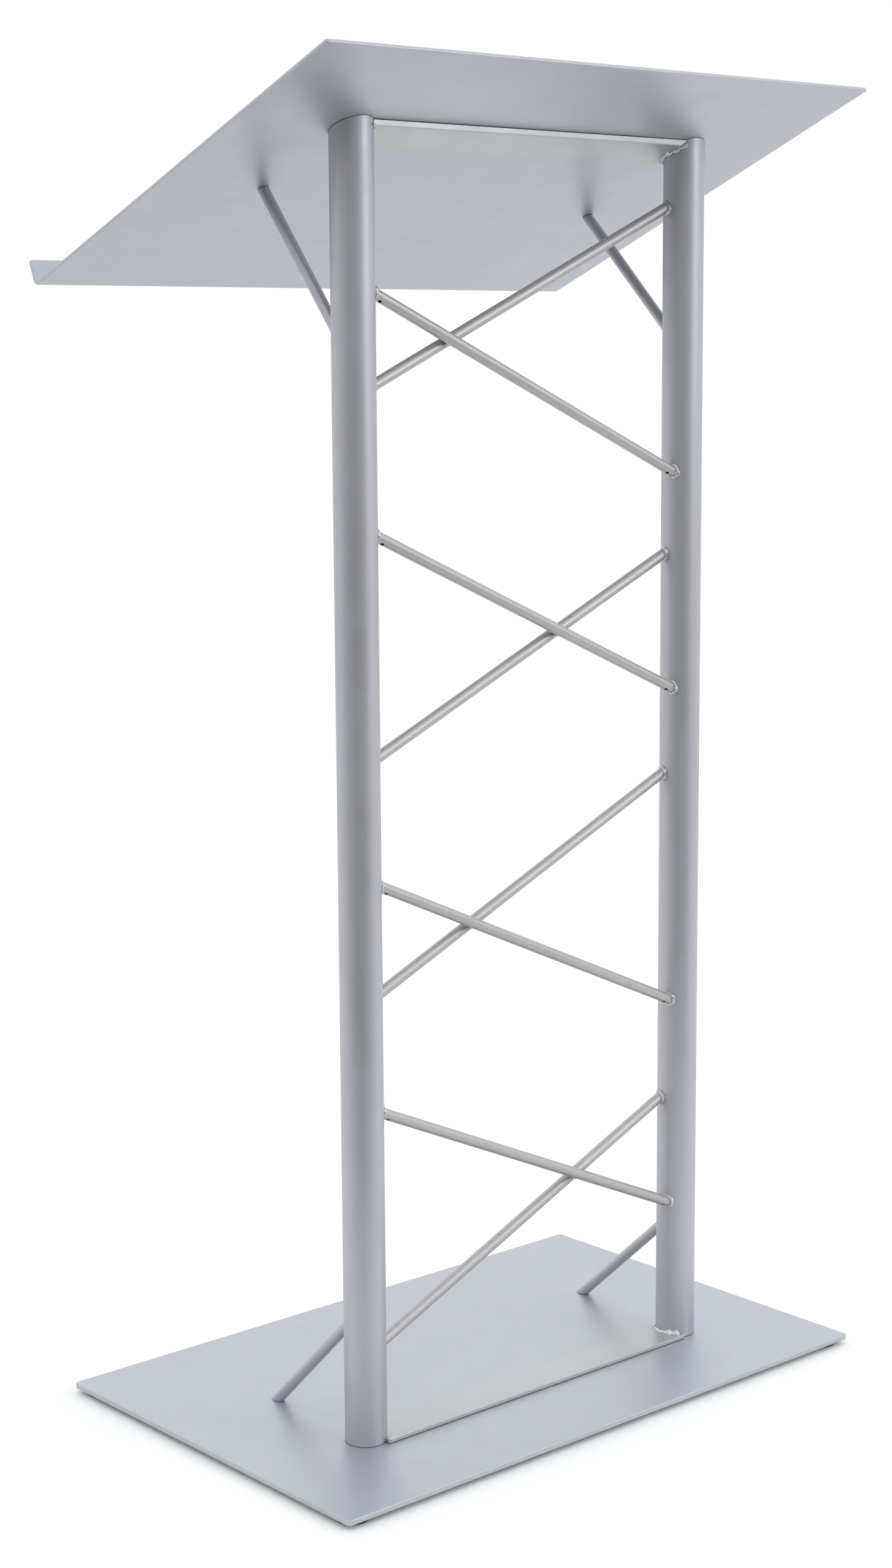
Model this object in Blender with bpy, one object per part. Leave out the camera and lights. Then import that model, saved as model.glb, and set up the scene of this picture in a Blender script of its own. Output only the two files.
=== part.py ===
"""Presentation lectern: a welded tube frame between a steel base plate and a sloping folded desk.

Metres, +Z up. The audience stands on the -Y side and the speaker on the +Y side, where the desk
ends in a lip. The origin lies on the floor, under the middle of the overall box.
"""
import math

import bmesh
import bpy
from mathutils import Matrix, Vector

MM = 0.001
GAP = 0.3 * MM                 # clearance between touching pieces
SEAM = 0.4 * MM                # joint between the frame and the desk above it
MERGE = 0.001 * MM             # points closer than this are one point

# Base plate and feet
BASE_WIDTH = 640 * MM
BASE_DEPTH = 412 * MM
BASE_THICKNESS = 5 * MM
BASE_CORNER_RADIUS = 4 * MM
FOOT_HEIGHT = 4.5 * MM
FOOT_RADIUS = 15 * MM
FOOT_CHAMFER = 1 * MM
FOOT_INSET = 20 * MM           # foot axis to the plate's edges
FOOT_RECESS_RADIUS = 5 * MM
FOOT_RECESS_DEPTH = 2.3 * MM
BASE_TOP = FOOT_HEIGHT + BASE_THICKNESS

# Posts, measured from the middle of the base plate
POST_RADIUS = 19.05 * MM
POST_WALL = 2 * MM
POST_X = 200 * MM
POST_Y = -84 * MM
PLUG_LENGTH = 12 * MM

# Desk: one sheet folded up into a lip at the speaker's edge
DESK_WIDTH = 640 * MM
DESK_TILT = math.radians(22.8)
DESK_RUN = 454 * MM            # high edge to the lip's outer face, down the slope
DESK_SHEET = 3 * MM
DESK_FOLD_RADIUS = 6 * MM      # outside the fold
DESK_FOLD_STEPS = 5
DESK_CORNER_RADIUS = 2.5 * MM
LIP_HEIGHT = 25 * MM
DESK_HIGH_Y = -202.2 * MM      # underside of the high edge
DESK_HIGH_Z = 1211 * MM

# Flat bars that tie the posts together
BAR_WIDTH = 40 * MM
BAR_HALF_LENGTH = 191.5 * MM
TOP_BAR_THICKNESS = 5 * MM
TOP_BAR_FRONT_Y = -98.5 * MM   # its audience-side edge, against the desk
BOTTOM_BAR_THICKNESS = 4 * MM
BOTTOM_BAR_Y = -86.5 * MM

# Truss tubes: rising and falling ones lie side by side and cross between the posts
TRUSS_RADIUS = 5 * MM
TRUSS_WALL = 1.2 * MM
TRUSS_ANGLE = math.radians(24)
TRUSS_SIDE_STEP = TRUSS_RADIUS + GAP / 2
RISING_MIDDLES = (172.5 * MM, 494 * MM, 704.5 * MM, 1025.5 * MM)
FALLING_MIDDLES = (230 * MM, 434.5 * MM, 739.5 * MM, 944 * MM)
VENT_RADIUS = 2 * MM
VENT_FROM_POST = 10 * MM       # vent hole's axis to the post's face, along the tube
VENT_TURN = math.radians(25)   # from straight down towards the audience

# Braces: solid rods behind each post; height on the post's axis, then the far end's X and Y
BRACE_RADIUS = 5 * MM
BRACE_OVERRUN = 20 * MM        # past the desk or the base, before its end is cut flush
UPPER_BRACES = {"left": (966 * MM, -209 * MM, 25 * MM), "right": (976.5 * MM, 208 * MM, 52 * MM)}
LOWER_BRACES = {"left": (134.5 * MM, -202 * MM, 43 * MM), "right": (133 * MM, 208 * MM, 56 * MM)}

# Screws: shank radius, head radius, head height
SMALL_SCREW = (2.5 * MM, 4.6 * MM, 2.4 * MM)
LARGE_SCREW = (4 * MM, 8 * MM, 4.3 * MM)
FOOT_SCREW = (2 * MM, 4 * MM, 1.6 * MM)
HEAD_RIM = 0.3 * MM            # straight edge of a countersunk head
PAN_CHAMFER = 0.5 * MM
SOCKET_SHARE = 0.34            # socket's circumscribed radius as a share of the head's
SOCKET_DEPTH_SHARE = 0.6       # of the head's height
SOCKET_SIDES = 6
BAR_SCREW_X = (-120 * MM, 0.0, 120 * MM)
BAR_SCREW_NAMES = ("left", "middle", "right")
BAR_SCREW_BITE = 3.2 * MM      # thread held by a flat bar
BRACE_SCREW_BITE = 6 * MM
BASE_BRACE_SCREW_SHIFT = 3 * MM  # towards the post, where the slanting rod backs the thread
DESK_BRACE_SCREW_SHIFT = 1 * MM
POST_SCREW_BITE = 9 * MM
FOOT_SCREW_BITE = 3.3 * MM

POST_SIDES = 48
TUBE_SIDES = 24
FOOT_SIDES = 32
SCREW_SIDES = 16
VENT_SIDES = 12
EDGE_SOFTENING = 0.6 * MM
CUTTER_REACH = 400 * MM        # half the width of the spaces that trim the frame's ends
SIDES = {"left": -1, "right": 1}
ROWS = {"front": -1, "rear": 1}


# ---------------------------------------------------------------- places

def slope_point(down, lift):
    """A point of the desk's profile: down the slope from the high edge, then off the underside."""
    y = DESK_HIGH_Y + down * math.cos(DESK_TILT) + lift * math.sin(DESK_TILT)
    z = DESK_HIGH_Z - down * math.sin(DESK_TILT) + lift * math.cos(DESK_TILT)
    return y, z


def down_slope(y):
    """How far down the slope the underside reaches this Y."""
    return (y - DESK_HIGH_Y) / math.cos(DESK_TILT)


def centring_shift():
    """The Y step that puts the middle of the overall box on the origin."""
    lip_y = slope_point(DESK_RUN, LIP_HEIGHT)[0]
    return -(lip_y - BASE_DEPTH / 2) / 2


# ---------------------------------------------------------------- scene helpers

def clear_scene():
    """Remove every object."""
    for obj in list(bpy.data.objects):
        bpy.data.objects.remove(obj, do_unlink=True)


def make_material(name, colour, metallic, roughness):
    """A Principled material."""
    material = bpy.data.materials.new(name)
    material.use_nodes = True
    shader = material.node_tree.nodes["Principled BSDF"]
    shader.inputs["Base Color"].default_value = (*colour, 1.0)
    shader.inputs["Metallic"].default_value = metallic
    shader.inputs["Roughness"].default_value = roughness
    return material


def make_empty(name, location, tilt, parent):
    """A frame that pieces are placed in, turned about X by -tilt."""
    empty = bpy.data.objects.new(name, None)
    bpy.context.scene.collection.objects.link(empty)
    empty.location = location
    empty.rotation_euler = (-tilt, 0.0, 0.0)
    empty.parent = parent
    return empty


def make_object(name, bm, material, parent):
    """Link a bmesh as an object, shaded smooth across its round stretches."""
    bmesh.ops.recalc_face_normals(bm, faces=bm.faces[:])
    mesh = bpy.data.meshes.new(name)
    bm.to_mesh(mesh)
    bm.free()
    mesh.shade_smooth()
    mesh.set_sharp_from_angle(angle=math.radians(35))
    obj = bpy.data.objects.new(name, mesh)
    bpy.context.scene.collection.objects.link(obj)
    obj.parent = parent
    if material is not None:
        mesh.materials.append(material)
    return obj


def make_cutter(name, bm, parent):
    """A hidden solid that only shapes others."""
    cutter = make_object(name, bm, None, parent)
    cutter.hide_render = True
    cutter.display_type = "WIRE"
    return cutter


def cut(obj, cutter):
    """Take the cutter's space out of the object."""
    modifier = obj.modifiers.new("cut_" + cutter.name, "BOOLEAN")
    modifier.operation = "DIFFERENCE"
    modifier.solver = "EXACT"
    modifier.object = cutter


def soften(obj, width):
    """Round the sharp edges a little, as sheared or rolled metal under paint is."""
    modifier = obj.modifiers.new("softened_edges", "BEVEL")
    modifier.width = width
    modifier.segments = 2
    modifier.limit_method = "ANGLE"
    modifier.angle_limit = math.radians(50)


# ---------------------------------------------------------------- shapes

def box(width, depth, height, centre):
    """A box in a new bmesh."""
    bm = bmesh.new()
    place = Matrix.Translation(centre) @ Matrix.Diagonal((width, depth, height, 1.0))
    bmesh.ops.create_cube(bm, size=1.0, matrix=place)
    return bm


def aimed(start, end):
    """The matrix that lays a Z-long shape from start to end."""
    axis = (end - start).normalized()
    turn = axis.to_track_quat("Z", "Y").to_matrix().to_4x4()
    return Matrix.Translation(start) @ turn


def rod(start, end, radius, sides):
    """A solid round rod between two points."""
    length = (end - start).length
    bm = bmesh.new()
    place = aimed(start, end) @ Matrix.Translation((0.0, 0.0, length / 2))
    bmesh.ops.create_cone(bm, cap_ends=True, segments=sides, radius1=radius, radius2=radius,
                          depth=length, matrix=place)
    return bm


def turned(profile, sides, closed=True):
    """A profile of (radius, height) points turned about Z; an open one starts and ends on Z."""
    bm = bmesh.new()
    verts = [bm.verts.new((radius, 0.0, height)) for radius, height in profile]
    edges = [bm.edges.new(pair) for pair in zip(verts, verts[1:])]
    if closed:
        edges.append(bm.edges.new((verts[-1], verts[0])))
    bmesh.ops.spin(bm, geom=verts + edges, cent=(0, 0, 0), axis=(0, 0, 1), dvec=(0, 0, 0),
                   angle=math.tau, steps=sides, use_merge=True)
    bmesh.ops.remove_doubles(bm, verts=bm.verts[:], dist=MERGE)
    return bm


def tube(start, end, outer, inner, sides):
    """A round tube, open at both ends."""
    length = (end - start).length
    bm = turned([(inner, 0.0), (outer, 0.0), (outer, length), (inner, length)], sides)
    bmesh.ops.transform(bm, matrix=aimed(start, end), verts=bm.verts[:])
    return bm


def screw_body(kind, grip, clearance):
    """A countersunk screw, head down at height 0 and tip at grip, or with clearance its hole."""
    shank, head, height = kind
    bottom = -clearance
    tip = grip + clearance
    outline = [(0.0, bottom), (head + clearance, bottom), (head + clearance, HEAD_RIM),
               (shank + clearance, height), (shank + clearance, tip), (0.0, tip)]
    return turned(outline, SCREW_SIDES, closed=False)


# ---------------------------------------------------------------- cutters shared by several pieces

def post_axis(side):
    """The foot of a post's axis on the floor."""
    return Vector((SIDES[side] * POST_X, POST_Y, 0.0))


def make_post_cutters(lectern):
    """The space each post takes out of the bars, truss tubes and braces."""
    cutters = {}
    for side in SIDES:
        foot = post_axis(side)
        bm = rod(foot, foot + Vector((0.0, 0.0, DESK_HIGH_Z)), POST_RADIUS + GAP, POST_SIDES)
        cutters[side] = make_cutter(side + "_post_space", bm, lectern)
    return cutters


def make_desk_space(desk):
    """Everything above the frame's sloping top."""
    centre = Vector((0.0, DESK_RUN / 2, CUTTER_REACH / 2 - SEAM))
    bm = box(2 * CUTTER_REACH, 2 * CUTTER_REACH, CUTTER_REACH, centre)
    return make_cutter("desk_space", bm, desk)


def make_base_space(lectern):
    """Everything below the frame's foot."""
    centre = Vector((0.0, 0.0, BASE_TOP + GAP - CUTTER_REACH / 2))
    bm = box(2 * CUTTER_REACH, 2 * CUTTER_REACH, CUTTER_REACH, centre)
    return make_cutter("base_space", bm, lectern)


# ---------------------------------------------------------------- the pieces

def make_base_plate(lectern, paint):
    """The flat steel plate that the frame stands on."""
    centre = Vector((0.0, 0.0, FOOT_HEIGHT + BASE_THICKNESS / 2))
    bm = box(BASE_WIDTH, BASE_DEPTH, BASE_THICKNESS, centre)
    upright = [e for e in bm.edges if abs(e.verts[0].co.z - e.verts[1].co.z) > MM]
    bmesh.ops.bevel(bm, geom=upright, offset=BASE_CORNER_RADIUS, segments=4, profile=0.5,
                    affect="EDGES", material=-1)
    plate = make_object("base_plate", bm, paint, lectern)
    soften(plate, EDGE_SOFTENING)
    return plate


def make_desk_panel(desk, paint):
    """The desk's sheet with its fold and lip, in the desk's own frame (Y runs down the slope)."""
    bm = bmesh.new()
    outline = desk_outline()
    face = bm.faces.new([bm.verts.new((-DESK_WIDTH / 2, y, z)) for y, z in outline])
    swept = bmesh.ops.extrude_face_region(bm, geom=[face])
    far = [item for item in swept["geom"] if isinstance(item, bmesh.types.BMVert)]
    bmesh.ops.translate(bm, verts=far, vec=(DESK_WIDTH, 0.0, 0.0))
    bmesh.ops.bevel(bm, geom=desk_corner_edges(bm), offset=DESK_CORNER_RADIUS, segments=3,
                    profile=0.5, affect="EDGES", material=-1)
    panel = make_object("desk_panel", bm, paint, desk)
    soften(panel, EDGE_SOFTENING)
    return panel


def desk_outline():
    """The sheet's profile: flat, folded through a right angle and up into the lip."""
    centre = (DESK_RUN - DESK_FOLD_RADIUS, DESK_FOLD_RADIUS)
    turns = [math.pi / 2 * i / DESK_FOLD_STEPS for i in range(DESK_FOLD_STEPS + 1)]
    outer = [(centre[0] + DESK_FOLD_RADIUS * math.sin(a), centre[1] - DESK_FOLD_RADIUS * math.cos(a))
             for a in turns]
    inner_radius = DESK_FOLD_RADIUS - DESK_SHEET
    inner = [(centre[0] + inner_radius * math.sin(a), centre[1] - inner_radius * math.cos(a))
             for a in reversed(turns)]
    lip = [(DESK_RUN, LIP_HEIGHT), (DESK_RUN - DESK_SHEET, LIP_HEIGHT)]
    return [(0.0, 0.0)] + outer + lip + inner + [(0.0, DESK_SHEET)]


def desk_corner_edges(bm):
    """The short edges through the sheet at the high corners and at the lip's corners."""
    chosen = []
    for edge in bm.edges:
        a, b = (vert.co for vert in edge.verts)
        across_sheet = abs((a - b).length - DESK_SHEET) < MERGE
        at_high_edge = max(a.y, b.y) < MM
        at_lip_top = min(a.z, b.z) > LIP_HEIGHT - MM
        if across_sheet and (at_high_edge or at_lip_top):
            chosen.append(edge)
    return chosen


def make_post(side, lectern, paint, desk_space):
    """A tube from the base plate up to the desk, its top cut to the slope."""
    foot = post_axis(side) + Vector((0.0, 0.0, BASE_TOP + GAP))
    head = post_axis(side) + Vector((0.0, 0.0, DESK_HIGH_Z))
    bm = tube(foot, head, POST_RADIUS, POST_RADIUS - POST_WALL, POST_SIDES)
    post = make_object(side + "_post", bm, paint, lectern)
    cut(post, desk_space)
    return post


def make_post_plug(side, lectern, steel):
    """The tapped disc welded inside a post's foot, for the screw through the base."""
    foot = post_axis(side) + Vector((0.0, 0.0, BASE_TOP + GAP))
    top = foot + Vector((0.0, 0.0, PLUG_LENGTH))
    bm = tube(foot, top, POST_RADIUS - POST_WALL - GAP, LARGE_SCREW[0] + GAP, POST_SIDES)
    return make_object(side + "_post_plug", bm, steel, lectern)


def make_bar(name, centre, thickness, parent, paint, post_spaces):
    """A flat bar whose ends are coped to the posts."""
    bm = box(2 * BAR_HALF_LENGTH, BAR_WIDTH, thickness, centre)
    bar = make_object(name, bm, paint, parent)
    soften(bar, EDGE_SOFTENING)
    for space in post_spaces.values():
        cut(bar, space)
    return bar


def make_truss_tube(name, middle, direction, lectern, paint, post_spaces):
    """One slanting tube of the truss; direction is 1 for rising to the right, -1 for falling."""
    rise = direction * POST_X * math.tan(TRUSS_ANGLE)
    y = POST_Y + direction * TRUSS_SIDE_STEP
    start = Vector((-POST_X, y, middle - rise))
    end = Vector((POST_X, y, middle + rise))
    bm = tube(start, end, TRUSS_RADIUS, TRUSS_RADIUS - TRUSS_WALL, TUBE_SIDES)
    piece = make_object(name, bm, paint, lectern)
    for side, space in post_spaces.items():
        cut(piece, space)
        inner_end = start if side == "left" else end
        cut(piece, make_vent_cutter(name, side, inner_end, start + end - inner_end, lectern))
    return piece


def make_vent_cutter(name, side, near, far, lectern):
    """The drill that opens a truss tube from below, just off the post."""
    along = (far - near).normalized()
    from_axis = (POST_RADIUS + VENT_FROM_POST) / abs(along.x)
    middle = near + along * from_axis
    across = along.cross(Vector((0.0, 1.0, 0.0))).normalized()
    down = across if across.z < 0 else -across
    outward = Matrix.Rotation(VENT_TURN * math.copysign(1.0, along.x), 4, along) @ down
    bm = rod(middle, middle + outward * 2 * TRUSS_RADIUS, VENT_RADIUS, VENT_SIDES)
    return make_cutter(name + "_" + side + "_vent", bm, lectern)


def brace_end(position, base_level):
    """Where a brace's axis meets the desk's underside or the base's top."""
    x, y = position
    if base_level:
        return Vector((x, y, BASE_TOP))
    return Vector((x, y, slope_point(down_slope(y), 0.0)[1]))


def make_brace(name, side, placing, base_level, lectern, paint, cutters):
    """A solid rod from a post's speaker side to the desk or the base, cut flush at both ends."""
    height, x, y = placing
    start = post_axis(side) + Vector((0.0, 0.0, height))
    end = brace_end((x, y), base_level)
    beyond = end + (end - start).normalized() * BRACE_OVERRUN
    brace = make_object(name, rod(start, beyond, BRACE_RADIUS, TUBE_SIDES), paint, lectern)
    for cutter in cutters:
        cut(brace, cutter)
    return brace


def make_foot(name, x, y, lectern, rubber):
    """A round rubber foot with a recess for its screw."""
    shank = FOOT_SCREW[0] + GAP
    top = FOOT_HEIGHT - GAP
    profile = [(FOOT_RECESS_RADIUS, 0.0), (FOOT_RADIUS - FOOT_CHAMFER, 0.0),
               (FOOT_RADIUS, FOOT_CHAMFER),
               (FOOT_RADIUS, top), (shank, top), (shank, FOOT_RECESS_DEPTH),
               (FOOT_RECESS_RADIUS, FOOT_RECESS_DEPTH)]
    foot = make_object(name, turned(profile, FOOT_SIDES), rubber, lectern)
    foot.location = (x, y, 0.0)
    return foot


def make_screw(name, kind, grip, steel, parent, location, turned_over):
    """A countersunk socket screw; turned_over drives it down instead of up."""
    screw = make_object(name, screw_body(kind, grip, 0.0), steel, parent)
    screw.location = location
    screw.rotation_euler = (math.pi if turned_over else 0.0, 0.0, 0.0)
    socket = kind[1] * SOCKET_SHARE
    bottom = Vector((0.0, 0.0, -MM))
    bm = rod(bottom, Vector((0.0, 0.0, kind[2] * SOCKET_DEPTH_SHARE)), socket, SOCKET_SIDES)
    cut(screw, make_cutter(name + "_socket", bm, screw))
    return screw


def make_screw_space(name, kind, grip, parent, location, turned_over):
    """The hole that a countersunk screw needs, head and all."""
    space = make_cutter(name + "_space", screw_body(kind, grip, GAP), parent)
    space.location = location
    space.rotation_euler = (math.pi if turned_over else 0.0, 0.0, 0.0)
    return space


def fasten(name, kind, grip, steel, parent, location, turned_over, held):
    """Put a screw in and open its hole through each piece that it holds."""
    make_screw(name, kind, grip, steel, parent, location, turned_over)
    space = make_screw_space(name, kind, grip, parent, location, turned_over)
    for piece in held:
        cut(piece, space)


def make_foot_screw(name, x, y, lectern, steel, plate):
    """The pan-head screw that holds a foot, biting into the plate from below."""
    shank, head, height = FOOT_SCREW
    head_top = FOOT_RECESS_DEPTH - GAP
    tip = FOOT_HEIGHT + FOOT_SCREW_BITE
    head_bottom = head_top - height
    outline = [(0.0, head_bottom), (head - PAN_CHAMFER, head_bottom), (head, head_top - height / 2),
               (head, head_top), (shank, head_top), (shank, tip), (0.0, tip)]
    screw = make_object(name, turned(outline, SCREW_SIDES, closed=False), steel, lectern)
    screw.location = (x, y, 0.0)
    socket = rod(Vector((0.0, 0.0, -MM)), Vector((0.0, 0.0, head_top - height / 2)),
                 head * SOCKET_SHARE, SOCKET_SIDES)
    cut(screw, make_cutter(name + "_socket", socket, screw))
    hole = rod(Vector((x, y, 0.0)), Vector((x, y, tip + GAP)), shank + GAP, SCREW_SIDES)
    cut(plate, make_cutter(name + "_space", hole, lectern))


# ---------------------------------------------------------------- groups

def add_feet(lectern, plate, rubber, steel):
    """A foot and its screw under each corner of the plate."""
    for row, row_sign in ROWS.items():
        for side, side_sign in SIDES.items():
            x = side_sign * (BASE_WIDTH / 2 - FOOT_INSET)
            y = row_sign * (BASE_DEPTH / 2 - FOOT_INSET)
            make_foot("foot_" + row + "_" + side, x, y, lectern, rubber)
            make_foot_screw("foot_screw_" + row + "_" + side, x, y, lectern, steel, plate)


def add_truss(lectern, paint, post_spaces):
    """Eight tubes, four rising and four falling."""
    for direction, label, middles in ((1, "rising", RISING_MIDDLES), (-1, "falling", FALLING_MIDDLES)):
        for number, middle in enumerate(middles, start=1):
            name = "truss_" + label + "_" + str(number)
            make_truss_tube(name, middle, direction, lectern, paint, post_spaces)


def add_braces(lectern, paint, post_spaces, desk_space, base_space):
    """The two braces behind each post."""
    upper = {}
    lower = {}
    for side in SIDES:
        upper[side] = make_brace("upper_" + side + "_brace", side, UPPER_BRACES[side], False,
                                 lectern, paint, (post_spaces[side], desk_space))
        lower[side] = make_brace("lower_" + side + "_brace", side, LOWER_BRACES[side], True,
                                 lectern, paint, (post_spaces[side], base_space))
    return upper, lower


def add_base_screws(lectern, plate, bottom_bar, lower_braces, steel):
    """Screws up through the base plate into the bar, the braces and the posts' plugs."""
    for name, x in zip(BAR_SCREW_NAMES, BAR_SCREW_X):
        fasten("base_bar_screw_" + name, SMALL_SCREW, BASE_THICKNESS + BAR_SCREW_BITE, steel,
               lectern, (x, BOTTOM_BAR_Y, FOOT_HEIGHT), False, (plate, bottom_bar))
    for side in SIDES:
        x, y = LOWER_BRACES[side][1:]
        fasten("base_brace_screw_" + side, SMALL_SCREW, BASE_THICKNESS + BRACE_SCREW_BITE, steel,
               lectern, (x, y - BASE_BRACE_SCREW_SHIFT, FOOT_HEIGHT), False,
               (plate, lower_braces[side]))
        foot = post_axis(side)
        fasten("post_screw_" + side, LARGE_SCREW, BASE_THICKNESS + POST_SCREW_BITE, steel,
               lectern, (foot.x, foot.y, FOOT_HEIGHT), False, (plate,))


def add_desk_screws(desk, panel, top_bar, upper_braces, steel):
    """Screws down through the desk's sheet into the bar and the braces."""
    bar_middle = down_slope(TOP_BAR_FRONT_Y) + BAR_WIDTH / 2
    for name, x in zip(BAR_SCREW_NAMES, BAR_SCREW_X):
        fasten("desk_bar_screw_" + name, SMALL_SCREW, DESK_SHEET + BAR_SCREW_BITE, steel, desk,
               (x, bar_middle, DESK_SHEET), True, (panel, top_bar))
    for side in SIDES:
        x, y = UPPER_BRACES[side][1:]
        fasten("desk_brace_screw_" + side, SMALL_SCREW, DESK_SHEET + BRACE_SCREW_BITE, steel,
               desk, (x, down_slope(y) - DESK_BRACE_SCREW_SHIFT, DESK_SHEET), True,
               (panel, upper_braces[side]))


def main():
    """Build the lectern."""
    clear_scene()
    paint = make_material("silver_powder_coat", (0.47, 0.48, 0.52), 0.6, 0.38)
    rubber = make_material("black_rubber", (0.012, 0.012, 0.013), 0.0, 0.8)
    steel = make_material("zinc_plated_steel", (0.55, 0.55, 0.56), 1.0, 0.35)

    lectern = make_empty("lectern", (0.0, centring_shift(), 0.0), 0.0, None)
    desk = make_empty("desk", (0.0, DESK_HIGH_Y, DESK_HIGH_Z), DESK_TILT, lectern)

    post_spaces = make_post_cutters(lectern)
    desk_space = make_desk_space(desk)
    base_space = make_base_space(lectern)

    plate = make_base_plate(lectern, paint)
    add_feet(lectern, plate, rubber, steel)
    for side in SIDES:
        make_post(side, lectern, paint, desk_space)
        make_post_plug(side, lectern, steel)
    add_truss(lectern, paint, post_spaces)
    upper, lower = add_braces(lectern, paint, post_spaces, desk_space, base_space)

    bottom_centre = Vector((0.0, BOTTOM_BAR_Y, BASE_TOP + GAP + BOTTOM_BAR_THICKNESS / 2))
    bottom_bar = make_bar("bottom_bar", bottom_centre, BOTTOM_BAR_THICKNESS, lectern, paint,
                          post_spaces)
    bar_middle = down_slope(TOP_BAR_FRONT_Y) + BAR_WIDTH / 2
    top_centre = Vector((0.0, bar_middle, -SEAM - TOP_BAR_THICKNESS / 2))
    top_bar = make_bar("top_bar", top_centre, TOP_BAR_THICKNESS, desk, paint, post_spaces)

    panel = make_desk_panel(desk, paint)
    add_base_screws(lectern, plate, bottom_bar, lower, steel)
    add_desk_screws(desk, panel, top_bar, upper, steel)


main()
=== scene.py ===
"""Presentation lectern: the finished pieces and their studio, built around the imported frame.

Metres, +Z up. The audience stands on the -Y side and the speaker on the +Y side. Places are
counted from the frame's own boxes, with the design's driving sizes beside them.
"""

import math

import bmesh
import bpy
from bpy.props import FloatProperty, FloatVectorProperty, PointerProperty
from mathutils import Matrix, Vector, noise


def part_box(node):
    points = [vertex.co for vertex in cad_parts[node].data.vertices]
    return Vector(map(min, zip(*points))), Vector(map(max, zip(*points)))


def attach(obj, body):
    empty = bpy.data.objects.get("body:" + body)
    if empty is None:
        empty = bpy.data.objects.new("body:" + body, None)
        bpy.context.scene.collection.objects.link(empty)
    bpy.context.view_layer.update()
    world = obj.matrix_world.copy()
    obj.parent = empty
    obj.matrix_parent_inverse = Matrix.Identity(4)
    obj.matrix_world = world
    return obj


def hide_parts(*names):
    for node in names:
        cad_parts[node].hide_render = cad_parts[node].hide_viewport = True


bl_info = {
    "name": "Presentation Lectern",
    "version": (1, 0, 0),
    "blender": (4, 5, 0),
    "location": "3D View > Sidebar > Lectern",
    "description": "Builds a powder-coated lectern on a frame of welded tubes",
    "category": "Object",
}

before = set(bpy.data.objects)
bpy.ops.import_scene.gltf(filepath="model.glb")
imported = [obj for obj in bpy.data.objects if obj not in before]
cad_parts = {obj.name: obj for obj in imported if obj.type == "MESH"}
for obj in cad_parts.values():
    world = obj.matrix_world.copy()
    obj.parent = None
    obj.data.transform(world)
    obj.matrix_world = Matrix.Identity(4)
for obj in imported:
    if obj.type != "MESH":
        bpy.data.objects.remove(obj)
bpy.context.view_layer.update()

MM = 0.001
GAP = 0.3 * MM                     # between touching pieces
SEAM = 0.4 * MM                    # between the frame's sloping top and the desk
CLEAR = 1 * MM                     # how far outside a piece its cutters start
MERGE = 0.001 * MM                 # points nearer than this are one point
SPLIT_ANGLE = math.radians(0.05)   # faces that meet flatter than this are one face

SIDES = {"left": -1, "right": 1}
ROWS = {"front": -1, "rear": 1}

PLATE_LOW, PLATE_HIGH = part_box("base_plate")
PLATE_TOP = PLATE_HIGH.z
PLATE_THICKNESS = PLATE_HIGH.z - PLATE_LOW.z
MIDDLE_Y = (PLATE_LOW.y + PLATE_HIGH.y) / 2
FOOT_LOW, FOOT_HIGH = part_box("foot_front_left")
POST_LOW, POST_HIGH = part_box("right_post")
POST_RADIUS = (POST_HIGH.x - POST_LOW.x) / 2
POST_X = (POST_LOW.x + POST_HIGH.x) / 2
POST_Y = (POST_LOW.y + POST_HIGH.y) / 2
POST_CHAMFER = 0.3 * MM

# Desk: its own frame has Y down the slope and Z off the underside
DESK_LOW, DESK_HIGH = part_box("desk_panel")
DESK_WIDTH = DESK_HIGH.x - DESK_LOW.x
DESK_TILT = math.radians(22.8)
DESK_RUN = 454 * MM
DESK_SHEET = 3 * MM
FOLD_RADIUS = 6 * MM
LIP_HEIGHT = 25 * MM
DESK_HIGH_EDGE = Vector((0.0, MIDDLE_Y - 202.2 * MM, 1211 * MM))
DESK_PLACE = Matrix.Translation(DESK_HIGH_EDGE) @ Matrix.Rotation(-DESK_TILT, 4, "X")
DESK_NORMAL = DESK_PLACE.to_3x3() @ Vector((0.0, 0.0, 1.0))
SHEET_CORNER = 2.5 * MM

# Flat bars
BAR_WIDTH = 40 * MM
BAR_HALF_LENGTH = 191.5 * MM
TOP_BAR_THICKNESS = 5 * MM
TOP_BAR_FRONT_Y = MIDDLE_Y - 98.5 * MM
BOTTOM_BAR_THICKNESS = 4 * MM
BOTTOM_BAR_Y = MIDDLE_Y - 86.5 * MM

# Truss tubes and braces; a brace has its height on the post, and X and Y where it ends
TRUSS_NAMES = [f"truss_{way}_{n}" for way in ("rising", "falling") for n in (1, 2, 3, 4)]
TRUSS_ANGLE = math.radians(24)
VENT_FROM_POST = 6 * MM
VENT_TURN = math.radians(25)       # from straight down, towards the audience
ROD_RADIUS = 5 * MM
UPPER_BRACES = {"left": (966 * MM, -209 * MM, 25 * MM), "right": (976.5 * MM, 208 * MM, 52 * MM)}
LOWER_BRACES = {"left": (134.5 * MM, -202 * MM, 43 * MM), "right": (133 * MM, 208 * MM, 56 * MM)}

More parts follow.
